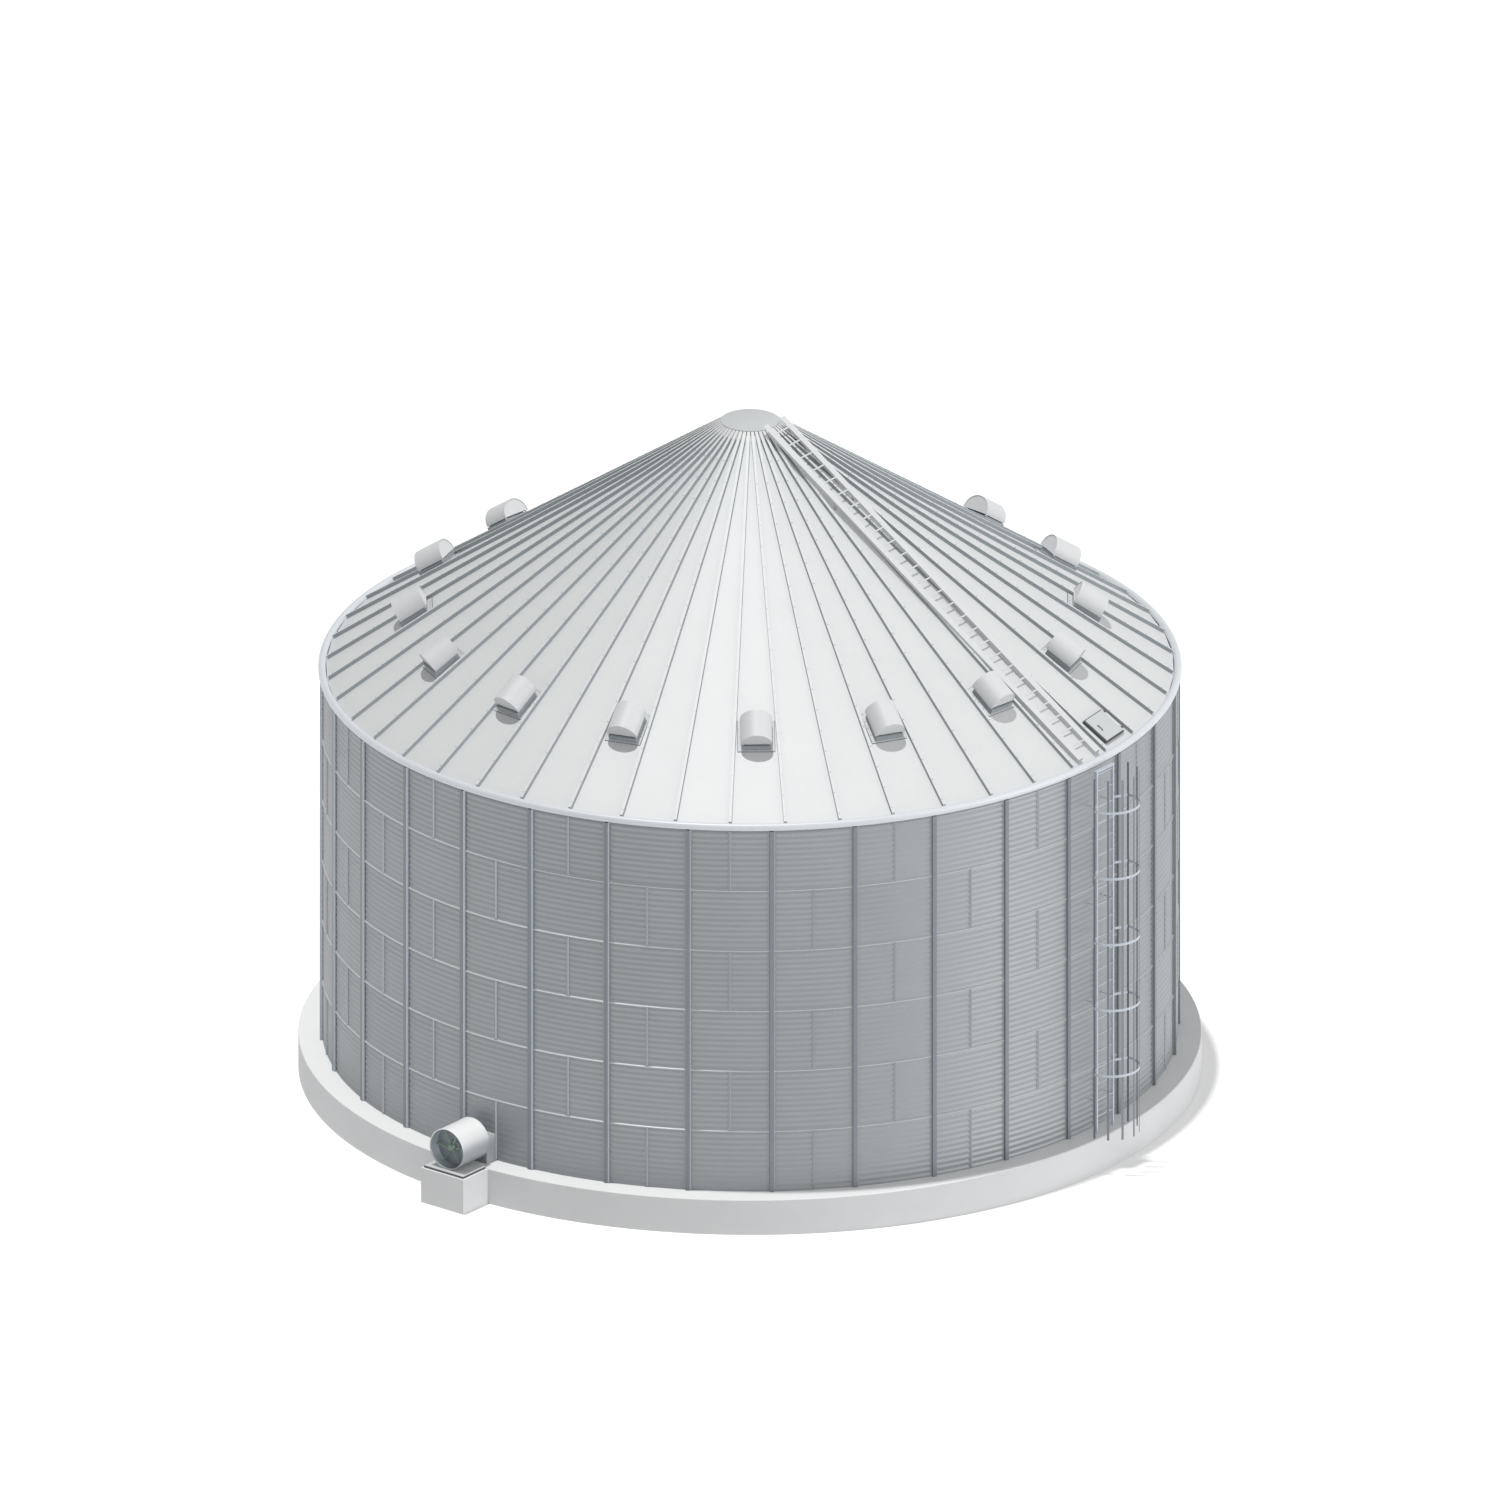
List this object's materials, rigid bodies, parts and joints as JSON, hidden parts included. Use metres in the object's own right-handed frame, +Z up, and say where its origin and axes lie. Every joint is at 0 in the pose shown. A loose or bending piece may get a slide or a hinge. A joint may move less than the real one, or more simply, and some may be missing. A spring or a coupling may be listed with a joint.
{
  "type": "grain silo",
  "caption": "Round corrugated steel grain silo with a ribbed cone roof, roof vents, hatch, caged ladder and aeration fan on a concrete plinth.",
  "frame": {"origin": "on the silo's axis at ground level, at the middle of the plinth's underside", "axes": "+Z up along the silo's axis, +X through the middle of the roof hatch"},
  "size_m": [15.8411, 16.0634, 12.0218],
  "materials": {
    "concrete": "fair-faced concrete",
    "galvanised_sheet": "galvanised, weathered matt",
    "roof_sheet": "light galvanised, satin",
    "light_steel": "light grey satin",
    "ladder_steel": "galvanised blue-grey",
    "dark_steel": "dark grey matt",
    "fan_grey": "light grey satin",
    "rotor_green": "grey-green satin"
  },
  "bodies": {
    "silo": {"foundation_slab": "concrete", "fan_pad": "concrete", "wall_segment_1": "galvanised_sheet", "wall_segment_2": "galvanised_sheet", "wall_segment_3": "galvanised_sheet", "wall_segment_4": "galvanised_sheet", "wall_segment_5": "galvanised_sheet", "wall_segment_6": "galvanised_sheet", "wall_segment_7": "galvanised_sheet", "wall_segment_8": "galvanised_sheet", "eave_ring": "light_steel", "roof_sector_1": "roof_sheet", "roof_sector_2": "roof_sheet", "roof_sector_3": "roof_sheet", "roof_sector_4": "roof_sheet", "roof_sector_5": "roof_sheet", "roof_sector_6": "roof_sheet", "roof_sector_7": "roof_sheet", "roof_sector_8": "roof_sheet", "peak_collar": "dark_steel", "peak_cap": "light_steel", "roof_vent_01": "light_steel", "roof_vent_02": "light_steel", "roof_vent_03": "light_steel", "roof_vent_04": "light_steel", "roof_vent_05": "light_steel", "roof_vent_06": "light_steel", "roof_vent_07": "light_steel", "roof_vent_08": "light_steel", "roof_vent_09": "light_steel", "roof_vent_10": "light_steel", "roof_vent_11": "light_steel", "roof_vent_12": "light_steel", "roof_vent_13": "light_steel", "roof_vent_14": "light_steel", "roof_vent_15": "light_steel", "roof_vent_16": "light_steel", "hatch_frame": "dark_steel", "roof_ladder": "ladder_steel", "wall_ladder": "ladder_steel", "ladder_cage": "ladder_steel", "fan_base_plate": "dark_steel", "fan_housing": "fan_grey", "fan_motor": "dark_steel", "transition_duct": "fan_grey"},
    "hatch_lid": {"hatch_lid": "light_steel"},
    "fan_rotor": {"fan_rotor": "rotor_green"}
  },
  "joints": [
    {"name": "hatch_hinge", "type": "hinge", "parent": "silo", "child": "hatch_lid", "pos_m": [6.92607, 0.316, 7.63679], "axis": [-0.8331, 0, 0.5532], "range_deg": [0, 110]},
    {"name": "fan_spin", "type": "hinge", "parent": "silo", "child": "fan_rotor", "pos_m": [-1.41089, -8.00156, 1.0506], "axis": [-0.1736, -0.9848, 0], "continuous": true}
  ]
}
